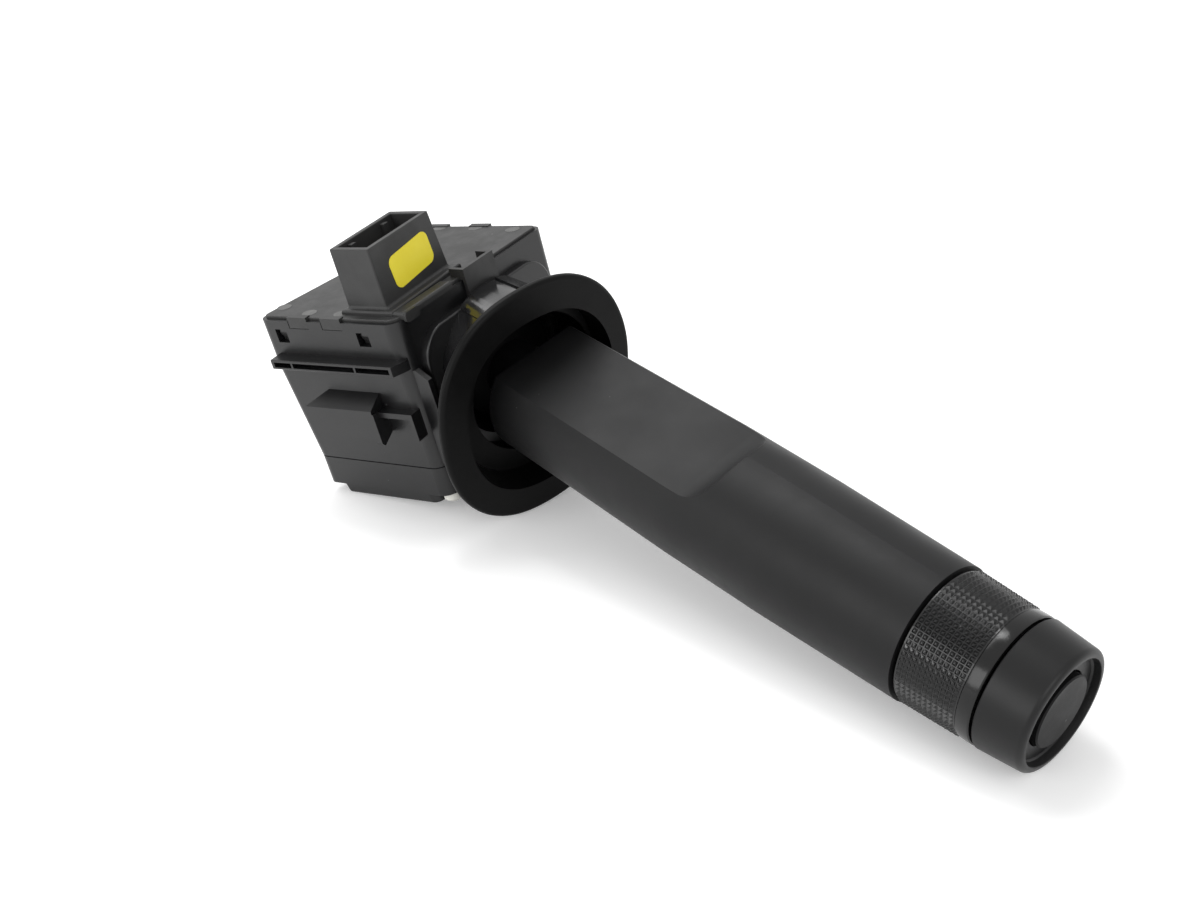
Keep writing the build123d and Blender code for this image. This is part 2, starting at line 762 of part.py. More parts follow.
# Collar on the boss, cut to the boss's face
with BuildPart() as socket_collar:
    cone = (collar_front_r - collar_back_r) / collar_front_s
    revolve(
        rotated_profile(
            [
                (0, collar_back_r - collar_wall),
                (0, collar_back_r),
                (collar_front_s - 0.6, collar_front_r),
                (collar_front_s, collar_front_r - 0.6),
                (collar_front_s, collar_front_r - collar_wall),
            ]
        ),
        axis=lever_axis,
    )
    for turn in range(collar_ribs):
        outward = Vector(across).rotate(Axis((0, 0, 0), along), 360 / collar_ribs * (turn + 0.5))
        with BuildSketch(Plane(origin=pivot, x_dir=along, z_dir=along.cross(outward))):
            with BuildLine():
                Polyline(
                    (1, collar_back_r + cone - 0.5),
                    (1, collar_back_r + cone + collar_rib_h),
                    (bezel_back_s - 1.0, collar_back_r + cone * (bezel_back_s - 1.0) + collar_rib_h),
                    (bezel_back_s - 0.4, collar_back_r + cone * (bezel_back_s - 0.4) - 0.5),
                    close=True,
                )
            make_face()
        revolve(axis=lever_axis, revolution_arc=collar_rib_deg)
    with BuildSketch(lever.offset(bezel_back_s)):
        Circle(collar_back_r - collar_wall + cone * 20)
    extrude(amount=-31, mode=Mode.SUBTRACT)
    split(bisect_by=front.offset(boss_t), keep=Keep.TOP)

# Bezel: squared oval flange on a funnel that grips the collar


def oval(station, middle, a, b):
    """Oval with slightly squared sides across the lever at a station."""
    turns = [2 * pi * i / oval_points for i in range(oval_points)]
    bulge = 2 / oval_power
    centre = pivot + along * station + across * middle[0] + up * middle[1]
    with BuildSketch(Plane(origin=centre, x_dir=across, z_dir=along)) as face:
        with BuildLine():
            Spline(
                *[
                    (a * copysign(abs(cos(t)) ** bulge, cos(t)), b * copysign(abs(sin(t)) ** bulge, sin(t)))
                    for t in turns
                ],
                periodic=True,
            )
        make_face()
    return face.sketch


def disc(station, radius):
    """Round face across the lever at a station."""
    with BuildSketch(lever.offset(station)) as face:
        Circle(radius)
    return face.sketch


bezel_back_face = bezel_rim_s - bezel_edge_t
grip_r = collar_front_r + collar_fit
with BuildPart() as bezel_flange:
    skirt_edge = opening_a + bezel_skin + 1.0, opening_b + bezel_skin + 1.0
    loft(sections=[disc(bezel_back_s, grip_r + bezel_skin), oval(bezel_back_face, opening_at, *skirt_edge)])
    extrude(to_extrude=oval(bezel_back_face, flange_at, flange_a, flange_b), amount=bezel_edge_t)
    fillet(bezel_flange.edges().group_by(Axis(pivot, along))[-1], 1.0)
    back_edges = [
        e for e in bezel_flange.edges() if abs((e.center() - pivot).dot(along) - bezel_back_face) < 0.05
    ]
    fillet(ShapeList(back_edges).sort_by(Edge.length)[-1], 0.7)
    loft(
        sections=[
            oval(bezel_lip_s, funnel_at, funnel_a, funnel_b),
            oval(bezel_rim_s + 0.4, opening_at, opening_a, opening_b),
        ],
        mode=Mode.SUBTRACT,
    )
    for radius, stop in ((bezel_lip_r, bezel_lip_s + 0.1), (grip_r, collar_front_s + fit)):
        extrude(to_extrude=disc(bezel_back_s, radius), amount=stop - bezel_back_s, mode=Mode.SUBTRACT)

# White push-in peg under the cover's front step
with BuildPart() as collar_peg:
    with BuildSketch(Plane.XY.offset(0.6)):
        with Locations(peg_spot):
            Circle(peg_head_r)
    extrude(amount=cover_step_z - 0.65)
    chamfer(collar_peg.faces().sort_by(Axis.Z)[0].edges(), 1.0)
    with BuildSketch(Plane.XY.offset(cover_step_z - 0.1)):
        with Locations(peg_spot):
            Circle(peg_r)
    extrude(amount=wall)

# Label plate on the plug socket's lever side, left plain
with BuildPart() as label_plate:
    label_middle = (plug_x + plug_len / 2, plug_y + 1.4, lid_top_z + 8.8)
    with BuildSketch(Plane(origin=label_middle, x_dir=(0, 1, 0), z_dir=(1, 0, 0))):
        RectangleRounded(label_w, label_h, 2.2, rotation=label_turn)
    extrude(amount=label_t)

# Trunnion bushes
with BuildPart() as pivot_bushes:
    for sign in (-1, 1):
        bush_spot = pivot + across * (sign * pillar_in)
        with BuildSketch(Plane(origin=bush_spot, x_dir=along, z_dir=across * sign)):
            Circle(bush_r - 0.02)
            Circle(trunnion_r + running_gap, mode=Mode.SUBTRACT)
        extrude(amount=pillar_t)
        with BuildSketch(Plane(origin=bush_spot, x_dir=along, z_dir=across * -sign)):
            Circle(bush_r + 1.2)
            Circle(trunnion_r + running_gap, mode=Mode.SUBTRACT)
        extrude(amount=0.8)

# Gimbal carrier: frame with two trunnions
trunnion_end = pillar_in + pillar_t + 0.4
with BuildPart() as gimbal_carrier:
    with BuildSketch(lever.offset(-frame_half_len)):
        RectangleRounded(2 * frame_x, 2 * frame_y, 1.5)
        Rectangle(frame_window, block + 2 * frame_gap, mode=Mode.SUBTRACT)
    extrude(amount=2 * frame_half_len)
    for sign, reach in ((1, trunnion_end), (-1, trunnion_end + crank_t)):
        with BuildSketch(Plane(origin=pivot + across * (sign * frame_x), x_dir=along, z_dir=across * sign)):
            Circle(trunnion_r)
        extrude(amount=reach - frame_x)
    with BuildSketch(Plane(origin=pivot, x_dir=across, z_dir=up)):
        Circle(flash_pin_r + 0.02)
    extrude(amount=frame_y, both=True, mode=Mode.SUBTRACT)

with BuildPart() as flash_pin:
    with BuildSketch(Plane(origin=pivot, x_dir=across, z_dir=up)):
        Circle(flash_pin_r)
    extrude(amount=frame_y - 0.1, both=True)

with BuildPart() as signal_crank:
    with BuildSketch(Plane(origin=pivot - across * trunnion_end, x_dir=along, z_dir=across * -1)):
        Circle(trunnion_r + 1.8)
        with Locations((-crank_arm / 2, 0)):
            Rectangle(crank_arm, 2 * crank_peg_r + 2.0)
        with Locations((-crank_arm, 0)):
            Circle(crank_peg_r + 1.0)
        Circle(trunnion_r + 0.02, mode=Mode.SUBTRACT)
    extrude(amount=crank_t)
    crank_peg_foot = peg_root - across * (trunnion_end + crank_t)
    with BuildSketch(Plane(origin=crank_peg_foot, x_dir=along, z_dir=across * -1)):
        Circle(crank_peg_r)
    extrude(amount=crank_peg_end - trunnion_end - crank_t)

# Lever core: block on the pin, rear arm with its bore, neck and plug
with BuildPart() as lever_core:
    with BuildSketch(lever.offset(-block_len / 2)):
        RectangleRounded(block, block, 1.0)
    extrude(amount=block_len)
    revolve(
        rotated_profile(
            [
                (0, 0),
                (0, 5.0),
                (block_len / 2, 5.8),
                (22, neck_r),
                (tube_root_s + 0.4, neck_r),
                (tube_root_s + 0.4, tube_bore - fit),
                (plug_end_s, tube_bore - fit),
                (plug_end_s, 0),
            ]
        ),
        axis=lever_axis,
    )
    with BuildSketch(lever):
        Circle(arm_r)
    extrude(amount=-arm_end)
    with BuildSketch(lever.offset(-arm_end)):
        Circle(plunger_r + fit)
    extrude(amount=arm_end - 3.6, mode=Mode.SUBTRACT)
    peg_from = (plunger_r + fit + arm_r) / 2
    with BuildSketch(Plane(origin=pivot - along * fork_peg_s + up * peg_from, x_dir=across, z_dir=up)):
        Circle(fork_peg_r)
    extrude(amount=fork_peg_top - peg_from)
    with BuildSketch(lever.offset(11)):
        Circle(neck_bore)
    extrude(amount=plug_end_s - 11, mode=Mode.SUBTRACT)
    with BuildSketch(Plane(origin=pivot + along * 13.5, x_dir=across, z_dir=up)):
        RectangleRounded(4.0, 5.0, 1.0)
    extrude(amount=10, mode=Mode.SUBTRACT)
    with BuildSketch(Plane(origin=pivot, x_dir=across, z_dir=up)):
        Circle(flash_pin_r + running_gap)
    extrude(amount=block, both=True, mode=Mode.SUBTRACT)

spring_wire = 0.3


def coil(base, radius, height, turns, name):
    """Compression spring that stands on a plane."""
    with BuildPart() as spring:
        with BuildLine():
            path = Helix(
                pitch=height / turns,
                height=height,
                radius=radius,
                center=base.origin,
                direction=base.z_dir,
            )
        with BuildSketch(Plane(origin=path @ 0, x_dir=base.z_dir, z_dir=path % 0)):
            Rectangle(2 * spring_wire, 2 * spring_wire)
        sweep(path=path)
    finish(spring, name)


with BuildPart() as detent_plunger:
    revolve(
        rotated_profile(
            [
                (-arm_end + 2.6, 0),
                (-arm_end + 2.6, plunger_r),
                (-plunger_reach + 1.6, plunger_r),
                (-plunger_reach + 0.6, 1.7),
                (-plunger_reach + 0.12, 0.8),
                (-plunger_reach, 0),
            ]
        ),
        axis=lever_axis,
    )

# Grip tube with its flat and the scooped run-out
flat_up = across * -sin(radians(flat_turn)) + up * cos(radians(flat_turn))
flat_section = Plane(origin=pivot, x_dir=along, z_dir=along.cross(flat_up))
flat_h = tube_r - flat_depth
with BuildPart() as grip_tube:
    with BuildSketch(section):
        with BuildLine():
            Polyline(
                (tube_root_s, tube_r),
                (taper_s, tube_r),
                (cone_s, tube_r - taper_bend),
                (tube_end_s, tube_end_r),
                (tube_end_s, tube_bore),
                (tube_root_s, tube_bore),
                close=True,
            )
        make_face()
    revolve(axis=lever_axis)
    with BuildSketch(flat_section):
        with BuildLine():
            floor_line = Line((tube_root_s - 1, flat_h), (scoop_s, flat_h))
            ramp_top = scoop_s + scoop_r * 0.98, flat_h + scoop_r * 0.8
            ramp = TangentArc(floor_line @ 1, ramp_top, tangent=floor_line % 1)
            Polyline(ramp @ 1, (tube_root_s - 1, flat_h + scoop_r * 0.8), floor_line @ 0)
        make_face()
    extrude(amount=tube_r + 1, both=True, mode=Mode.SUBTRACT)
    fillet(
        grip_tube.edges().filter_by(GeomType.CIRCLE).sort_by(Axis(pivot, along))[0:1]
        + grip_tube.edges().filter_by(GeomType.CIRCLE).sort_by(Axis(pivot, along))[-1:],
        0.3,
    )

# Dust shield on the neck, a shallow ball shell about the pivot
with BuildPart() as dust_shield:
    neck_fit = neck_r + 0.02
    inner_ball = shield_ball - shield_t
    with BuildSketch(section):
        with BuildLine():
            face_arc = ThreePointArc(*[
                (sqrt(shield_ball**2 - radius**2), radius)
                for radius in (neck_fit, (neck_fit + shield_r) / 2, shield_r)
            ])
            Polyline(
                face_arc @ 1,
                (sqrt(inner_ball**2 - shield_r**2), shield_r),
                (sqrt(inner_ball**2 - neck_fit**2), neck_fit),
                face_arc @ 0,
            )
        make_face()
    revolve(axis=lever_axis)

# Spindle inside the tube: carries the ring and the cap
board_s = ring_end_s + 0.6
nose_end_s = cap_end_s - 4.7
flange_back_s = nose_end_s - 1.5
with BuildPart() as spindle:
    revolve(
        rotated_profile(
            [
                (plug_end_s + 0.2, spindle_bore),
                (plug_end_s + 0.2, tube_bore - fit),
                (tube_end_s + 0.1, tube_bore - fit),
                (tube_end_s + 0.1, ring_bore - running_gap),
                (ring_end_s + 0.1, ring_bore - running_gap),
                (ring_end_s + 0.1, nose_r),
                (nose_end_s, nose_r),
                (nose_end_s, nose_r - 1.6),
                (board_s, nose_r - 1.6),
                (board_s, spindle_bore),
            ]
        ),
        axis=lever_axis,
    )
    # Groove for the track band, and the bore for the ring's detent ball
    track_s = knurl_s + 4.0
    ball_s = knurl_s + 11.0
    with BuildSketch(lever.offset(track_s)):
        Circle(ring_bore + 1)
        Circle(ring_bore - 0.75, mode=Mode.SUBTRACT)
    extrude(amount=3.0, mode=Mode.SUBTRACT)
    with BuildSketch(Plane(origin=pivot + along * ball_s, x_dir=along, z_dir=across)):
        Circle(1.6)
    extrude(amount=ring_bore + 1, mode=Mode.SUBTRACT)

with BuildPart() as ring_tracks:
    with BuildSketch(lever.offset(track_s + 0.05)):
        Circle(ring_bore - 0.5)
        Circle(ring_bore - 0.74, mode=Mode.SUBTRACT)
    extrude(amount=2.9)

with BuildPart() as ring_ball:
    add(Sphere(1.5, mode=Mode.PRIVATE).move(Location(pivot + along * ball_s + across * (ring_bore - 0.9))))

# Turning ring: knurled band and polished shoulder
with BuildPart() as knurled_ring:
    revolve(
        rotated_profile(
            [
                (knurl_s, ring_bore),
                (knurl_s, knurl_r0 - 0.35),
                (knurl_s + 0.35, knurl_r0),
                (shoulder_s - 0.35, knurl_r1),
                (shoulder_s, knurl_r1 - 0.35),
                (shoulder_s, ring_bore),
            ]
        ),
        axis=lever_axis,
    )
    # Groove that the ball and the wiper run in
    for start, width in ((ball_s - 1.6, 3.2), (track_s + 0.3, 2.4)):
        with BuildSketch(lever.offset(start)):
            Circle(ring_bore + 1.0)
            Circle(ring_bore - 1.0, mode=Mode.SUBTRACT)
        extrude(amount=width, mode=Mode.SUBTRACT)

with BuildPart() as ring_wiper:
    with BuildSketch(lever.offset(track_s + 0.4)):
        Circle(ring_bore + 0.98)
        Circle(ring_bore - 0.4, mode=Mode.SUBTRACT)
        with Locations((0, -ring_bore - 4)):
            Rectangle(60, 2 * ring_bore + 6, mode=Mode.SUBTRACT)
        with Locations((-ring_bore - 4, 0), (ring_bore + 4, 0)):
            Rectangle(2 * ring_bore, 60, mode=Mode.SUBTRACT)
    extrude(amount=2.2)

with BuildPart() as shoulder_ring:
    revolve(
        rotated_profile(
            [
                (shoulder_s, ring_bore),
                (shoulder_s, shoulder_r - 0.3),
                (shoulder_s + 0.5, shoulder_r),
                (ring_end_s - 0.4, shoulder_r - 0.05),
                (ring_end_s, shoulder_r - 0.45),
                (ring_end_s, ring_bore),
            ]
        ),
        axis=lever_axis,
    )

# End cap with the button's guide
cap_web_s = nose_end_s + fit
cap_lip_r = cap_r1 - cap_edge
with BuildPart() as end_cap:
    with BuildSketch(section):
        with BuildLine():
            shell = Polyline(
                (ring_end_s + 0.2, nose_r + 0.02),
                (ring_end_s + 0.2, shoulder_r - 1.8),
                (cap_s, shoulder_r - 1.8),
                (cap_s, cap_r0 - 0.3),
                (cap_s + 0.3, cap_r0),
                (cap_end_s - cap_edge, cap_r1),
            )
            nose = TangentArc(shell @ 1, (cap_end_s, cap_lip_r), tangent=shell % 1)
            Polyline(
                nose @ 1,
                (cap_end_s - cap_dish, button_r + button_gap),
                (cap_web_s, button_r + button_gap),
                (cap_web_s, nose_r + 0.02),
                (ring_end_s + 0.2, nose_r + 0.02),
            )
        make_face()
    revolve(axis=lever_axis)

# Push button and its small switch on the end board
button_top_s = cap_end_s - button_recess
switch_s = board_s + 0.02 + 1.2
switch_h = 2.9
stem_s = switch_s + switch_h + button_travel + 0.1
flange_r = nose_r - 1.6 - fit
with BuildPart() as tip_button:
    revolve(
        rotated_profile(
            [
                (button_top_s, 0),
                (button_top_s, button_r - 0.3),
                (button_top_s - 0.3, button_r),
                (nose_end_s, button_r),
                (nose_end_s, flange_r),
                (flange_back_s + 0.3, flange_r),
                (flange_back_s + 0.3, button_r - 1.1),
                (button_top_s - 1.6, button_r - 1.1),
                (button_top_s - 1.6, 1.8),
                (stem_s, 1.8),
                (stem_s, 0),
            ]
        ),
        axis=lever_axis,
    )

board_end_t = 1.2
with BuildPart() as end_board:
    with BuildSketch(lever.offset(board_s + 0.02)):
        Circle(nose_r - 1.6 - fit)
    extrude(amount=board_end_t)

with BuildPart() as button_switch:
    with BuildSketch(lever.offset(switch_s)):
        Rectangle(4.6, 4.6)
    extrude(amount=switch_h)
    with BuildSketch(lever.offset(switch_s + 0.5)):
        Circle(1.2 + running_gap)
    extrude(amount=switch_h, mode=Mode.SUBTRACT)

with BuildPart() as switch_plunger:
    with BuildSketch(lever.offset(switch_s + 0.6 + button_travel)):
        Circle(1.2)
    extrude(amount=stem_s - switch_s - 0.6 - button_travel)

# Lead ribbon from the end board down to the neck
with BuildPart() as lever_leads:
    with BuildSketch(lever.offset(14)):
        Rectangle(4.6, 1.2)
    extrude(amount=board_s - 14)

# Cross pin that holds the tube on the core
pin_s = (tube_root_s + plug_end_s) / 2 + 4
for piece in (grip_tube, lever_core):
    with piece:
        with BuildSketch(Plane(origin=pivot + along * pin_s - up * (tube_r + 1), x_dir=across, z_dir=up)):
            Circle(1.52)
        extrude(amount=tube_r - neck_bore - 1.0, mode=Mode.SUBTRACT)
with BuildPart() as tube_pin:
    with BuildSketch(Plane(origin=pivot + along * pin_s - up * (tube_r - 0.5), x_dir=across, z_dir=up)):
        Circle(1.5)
    extrude(amount=tube_r - neck_bore - 2.6)

coil(lever.offset(-arm_end + 2.6 + spring_wire + 0.05), 1.9, 6.1, 4, "detent_spring")
coil(Plane(origin=pivot + along * ball_s + across * 7.9, z_dir=across), 0.9, 1.3, 1.5, "ring_ball_spring")

pieces = {
    "case": case,
    "lid": lid,
    "bottom_cover": bottom_cover,
    "main_board": main_board,
    "board_screws": board_screws,
    "connector_pins": connector_pins,
    "fixed_contacts": fixed_contacts,
    "flash_slider": flash_slider,
    "flash_wipers": flash_wipers,
    "side_board": side_board,
    "side_contacts": side_contacts,
    "signal_slider": signal_slider,
    "signal_wipers": signal_wipers,
    "cam_tower": cam_tower,
    "socket_collar": socket_collar,
    "bezel_flange": bezel_flange,
    "collar_peg": collar_peg,
    "label_plate": label_plate,
    "pivot_bushes": pivot_bushes,
    "gimbal_carrier": gimbal_carrier,
    "flash_pin": flash_pin,
    "signal_crank": signal_crank,
    "lever_core": lever_core,
    "detent_plunger": detent_plunger,
    "grip_tube": grip_tube,
    "tube_pin": tube_pin,
    "dust_shield": dust_shield,
    "spindle": spindle,
    "ring_tracks": ring_tracks,
    "ring_ball": ring_ball,
    "knurled_ring": knurled_ring,
    "ring_wiper": ring_wiper,
    "shoulder_ring": shoulder_ring,
    "end_cap": end_cap,
    "tip_button": tip_button,
    "end_board": end_board,
    "button_switch": button_switch,
    "switch_plunger": switch_plunger,
    "lever_leads": lever_leads,
}
for name, builder in pieces.items():
    finish(builder, name)
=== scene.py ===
"""Column stalk switch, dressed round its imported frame: moulded blacks, pointed knurl and a plain studio."""
import json
from math import cos, radians, sin

import bmesh
import bpy
from mathutils import Matrix, Vector


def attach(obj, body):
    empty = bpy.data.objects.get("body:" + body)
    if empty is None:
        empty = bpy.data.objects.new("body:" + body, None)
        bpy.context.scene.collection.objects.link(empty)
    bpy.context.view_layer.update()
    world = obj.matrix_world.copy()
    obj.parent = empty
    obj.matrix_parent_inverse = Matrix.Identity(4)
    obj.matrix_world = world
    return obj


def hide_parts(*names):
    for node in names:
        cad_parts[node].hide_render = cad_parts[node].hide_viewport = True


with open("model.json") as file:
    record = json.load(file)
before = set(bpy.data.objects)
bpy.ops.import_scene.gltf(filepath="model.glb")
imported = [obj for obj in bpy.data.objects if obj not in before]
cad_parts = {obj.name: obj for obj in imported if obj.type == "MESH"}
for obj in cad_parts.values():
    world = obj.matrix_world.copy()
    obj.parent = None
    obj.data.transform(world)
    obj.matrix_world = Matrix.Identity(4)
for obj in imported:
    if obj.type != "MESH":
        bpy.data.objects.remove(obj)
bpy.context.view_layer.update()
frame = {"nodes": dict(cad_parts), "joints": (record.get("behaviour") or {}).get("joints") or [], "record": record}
nodes = frame["nodes"]

# The plain materials that come with the frame make way for the finishes below
for plain in list(bpy.data.materials):
    bpy.data.materials.remove(plain)

MM = 0.001

# The lever's own directions, from the two joints that carry it
joints = {j["name"]: j for j in frame["joints"]}
along = Vector(joints["ring_turn"]["axis"]).normalized()
up = Vector(joints["flash_hinge"]["axis"]).normalized()
across = up.cross(along)
pivot = Vector(joints["flash_hinge"]["pos_m"])
LEVER_PLACE = Matrix.Translation(pivot) @ Matrix((across, up, along)).transposed().to_4x4()

# How far from a station a vertex may lie and still count as on that face
ON_FACE = 0.05 * MM


def reach_on_lever(node):
    """First and last station of a node along the lever, in metres from the pivot."""
    stations = [(vertex.co - pivot).dot(along) for vertex in nodes[node].data.vertices]
    return min(stations), max(stations)


def radii_near(node, station, slack):
    """Smallest and largest radius of a node round the lever's axis near a station."""
    found = []
    for vertex in nodes[node].data.vertices:
        arm = vertex.co - pivot
        if abs(arm.dot(along) - station) < slack:
            found.append((arm - along * arm.dot(along)).length)
    return min(found), max(found)


# Finishes. Cells, distances and depths in them are in millimetres.
DUST_APART = 7.0
DUST_PALER = 3.0
DUST_LIFT = 0.05
DUST_CORE = 0.6
GLOSS_TO_FLOW = 0.6
STREAK_DARKER = 0.82
STREAK_GLOSS = (0.8, 1.3)


def new_finish(name):
    """A material with its Principled shader and a fresh Object coordinate."""
    finish = bpy.data.materials.new(name)
    finish.use_nodes = True
    tree = finish.node_tree
    place = tree.nodes.new("ShaderNodeTexCoord")
    return finish, tree, tree.nodes["Principled BSDF"], place.outputs["Object"]


def grain(tree, place, cell, detail, roughness=0.55):
    """Noise whose cells are that many millimetres across."""
    noise = tree.nodes.new("ShaderNodeTexNoise")
    noise.inputs["Scale"].default_value = 1 / (cell * MM)
    noise.inputs["Detail"].default_value = detail
    noise.inputs["Roughness"].default_value = roughness
    tree.links.new(place, noise.inputs["Vector"])
    return noise.outputs["Fac"]


def spread(tree, value, low, high, start=0.35, stop=0.65):
    """Stretches the part of a value from start to stop over low to high, held at both ends."""
    node = tree.nodes.new("ShaderNodeMapRange")
    node.inputs["From Min"].default_value = start
    node.inputs["From Max"].default_value = stop
    node.inputs["To Min"].default_value = low
    node.inputs["To Max"].default_value = high
    tree.links.new(value, node.inputs["Value"])
    return node.outputs["Result"]


def tint(tree, value, dark, light):
    """Mixes two colours by a value. A colour is three numbers or a socket."""
    mix = tree.nodes.new("ShaderNodeMix")
    mix.data_type = "RGBA"
    for socket, colour in (("A", dark), ("B", light)):
        if isinstance(colour, tuple):
            mix.inputs[socket].default_value = (*colour, 1)
        else:
            tree.links.new(colour, mix.inputs[socket])
    tree.links.new(value, mix.inputs["Factor"])
    return mix.outputs["Result"]


def relief(tree, shader, value, depth):
    """Bump of a depth in millimetres on the shader."""
    bump = tree.nodes.new("ShaderNodeBump")
    bump.inputs["Distance"].default_value = depth * MM
    tree.links.new(value, bump.inputs["Height"])
    tree.links.new(bump.outputs["Normal"], shader.inputs["Normal"])


def lint(tree, place, cell, size):
    """One where a mote of dust lies: about one mote to a cell, a share of the cell across."""
    motes = tree.nodes.new("ShaderNodeTexVoronoi")
    motes.inputs["Scale"].default_value = 1 / (cell * MM)
    tree.links.new(place, motes.inputs["Vector"])
    return spread(tree, motes.outputs["Distance"], 1.0, 0.0, size * DUST_CORE, size)


def moulded(name, dark, light, gloss, pores=0.35, depth=0.02, flow=14.0, shine=0.3, dusty=0.05):
    """Injection-moulded plastic: tone drift from the melt, spark-eroded pores, uneven gloss and dust."""
    finish, tree, shader, place = new_finish(name)
    drift = spread(tree, grain(tree, place, flow, detail=4.0), 0.0, 1.0, 0.3, 0.7)
    colour = tint(tree, drift, dark, light)
    if dusty:
        pale = tuple(min(1.0, c * DUST_PALER + DUST_LIFT) for c in light)
        colour = tint(tree, lint(tree, place, DUST_APART, dusty), colour, pale)
    tree.links.new(colour, shader.inputs["Base Color"])
    handled = grain(tree, place, flow * GLOSS_TO_FLOW, detail=5.0, roughness=0.6)
    tree.links.new(spread(tree, handled, gloss[0], gloss[1]), shader.inputs["Roughness"])
    shader.inputs["Specular IOR Level"].default_value = shine
    relief(tree, shader, grain(tree, place, pores, detail=2.0), depth)
    return finish


def metal(name, colour, gloss, lines=0.25):
    """Drawn or stamped metal with fine streaks."""
    finish, tree, shader, place = new_finish(name)
    streaks = grain(tree, place, lines, detail=4.0, roughness=0.7)
    darker = tuple(c * STREAK_DARKER for c in colour)
    tree.links.new(tint(tree, spread(tree, streaks, 0, 1), darker, colour), shader.inputs["Base Color"])
    shader.inputs["Metallic"].default_value = 1.0
    smooth, rough = (gloss * share for share in STREAK_GLOSS)
    tree.links.new(spread(tree, streaks, smooth, rough), shader.inputs["Roughness"])
    return finish


# Each finish gives its darkest and lightest tone and the range of its roughness
FINISHES = (
    moulded(
        "case_black", (0.004, 0.004, 0.0043), (0.0055, 0.0055, 0.006), (0.31, 0.38),
        pores=0.3, depth=0.012, shine=0.45,
    ),
    moulded(
        "lid_black", (0.018, 0.018, 0.0182), (0.026, 0.026, 0.0255), (0.4, 0.55),
        pores=0.4, shine=0.4,
    ),
    moulded(
        "bezel_black", (0.002, 0.002, 0.002), (0.0032, 0.0032, 0.0032), (0.38, 0.48),
        depth=0.014, shine=0.1,
    ),
    moulded(
        "collar_gloss", (0.006, 0.006, 0.0065), (0.009, 0.009, 0.0095), (0.1, 0.22),
        pores=1.5, depth=0.01, shine=1.0,
    ),
    moulded(
        "grip_black", (0.0045, 0.0045, 0.0048), (0.007, 0.007, 0.0073), (0.44, 0.52),
        pores=0.2, depth=0.012, flow=30.0, shine=0.24, dusty=0.028,
    ),
    moulded(
        "cap_black", (0.004, 0.004, 0.0042), (0.006, 0.006, 0.0062), (0.36, 0.44),
        pores=0.2, depth=0.01, flow=20.0, shine=0.26, dusty=0.03,
    ),
    moulded(
        "button_black", (0.005, 0.005, 0.0052), (0.0065, 0.0065, 0.0067), (0.42, 0.5),
        pores=0.25, depth=0.01, shine=0.12,
    ),
    moulded(
        "shield_black", (0.002, 0.002, 0.002), (0.003, 0.003, 0.003), (0.5, 0.6),
        pores=0.5, depth=0.01, shine=0.08,
    ),
    moulded(
        "ring_black", (0.003, 0.003, 0.0032), (0.0045, 0.0045, 0.0047), (0.2, 0.3),
        pores=0.3, depth=0.006, shine=0.4,
    ),
    moulded(
        "shoulder_gloss", (0.003, 0.003, 0.003), (0.005, 0.005, 0.005), (0.12, 0.2),
        pores=0.9, depth=0.012, flow=5.0, shine=0.34,
    ),
    moulded(
        "label_yellow", (0.92, 0.77, 0.035), (0.96, 0.82, 0.05), (0.28, 0.4),
        pores=0.8, depth=0.006, flow=6.0, dusty=0,
    ),
    moulded(
        "nylon_white", (0.7, 0.69, 0.64), (0.8, 0.79, 0.74), (0.4, 0.55),
        pores=0.6, depth=0.01, dusty=0,
    ),
    moulded(
        "board_green", (0.02, 0.1, 0.04), (0.04, 0.16, 0.07), (0.25, 0.35),
        pores=0.9, depth=0.01,
    ),
    moulded(
        "leads_grey", (0.16, 0.16, 0.165), (0.22, 0.22, 0.225), (0.4, 0.55),
        pores=0.8, depth=0.01, dusty=0,
    ),
    moulded(
        "mark_grey", (0.1, 0.1, 0.098), (0.13, 0.13, 0.127), (0.5, 0.6),
        pores=0.25, depth=0.01, flow=3.0, dusty=0,
    ),
    metal("steel", (0.62, 0.62, 0.63), 0.28),
    metal("brass", (0.72, 0.53, 0.24), 0.3),
)
finishes = {finish.name: finish for finish in FINISHES}

# Pieces whose finish differs from the rest of their slot
OWN_FINISH = {"end_cap": "cap_black", "tip_button": "button_black", "dust_shield": "shield_black"}
for row in frame["record"]["subparts"]:
    node = nodes[row["node"]]
    node.data.materials.clear()
    node.data.materials.append(finishes[OWN_FINISH.get(row["node"], row["material_slot"])])


# Modelling by hand
FACETS_ROUND = 96
SMOOTH_BELOW = radians(32)


def deselect():
    """Starts each piece with nothing selected."""
    bpy.ops.object.select_all(action="DESELECT")


def work_on(name):
    """Takes the primitive that was just added, names it and opens it for editing with nothing selected."""
    piece = bpy.context.object
    piece.name = name
    piece.data.name = name
    bpy.ops.object.mode_set(mode="EDIT")
    bpy.ops.mesh.select_all(action="DESELECT")
    return piece


def pick(piece, kind, wanted):
    """Selects just the edges or faces that are wanted."""
    bpy.ops.mesh.select_all(action="DESELECT")
    bpy.ops.mesh.select_mode(type=kind)
    mesh = bmesh.from_edit_mesh(piece.data)
    for part in {"EDGE": mesh.edges, "FACE": mesh.faces}[kind]:
        part.select_set(wanted(part))
    mesh.select_flush_mode()
    bmesh.update_edit_mesh(piece.data)


def close_ring(ring):
    """Joins a ring's two open ends and turns its faces outwards."""
    pick(ring, "EDGE", lambda edge: edge.is_boundary)
    bpy.ops.mesh.bridge_edge_loops()
    bpy.ops.mesh.select_all(action="SELECT")
    bpy.ops.mesh.normals_make_consistent(inside=False)
    bpy.ops.object.mode_set(mode="OBJECT")


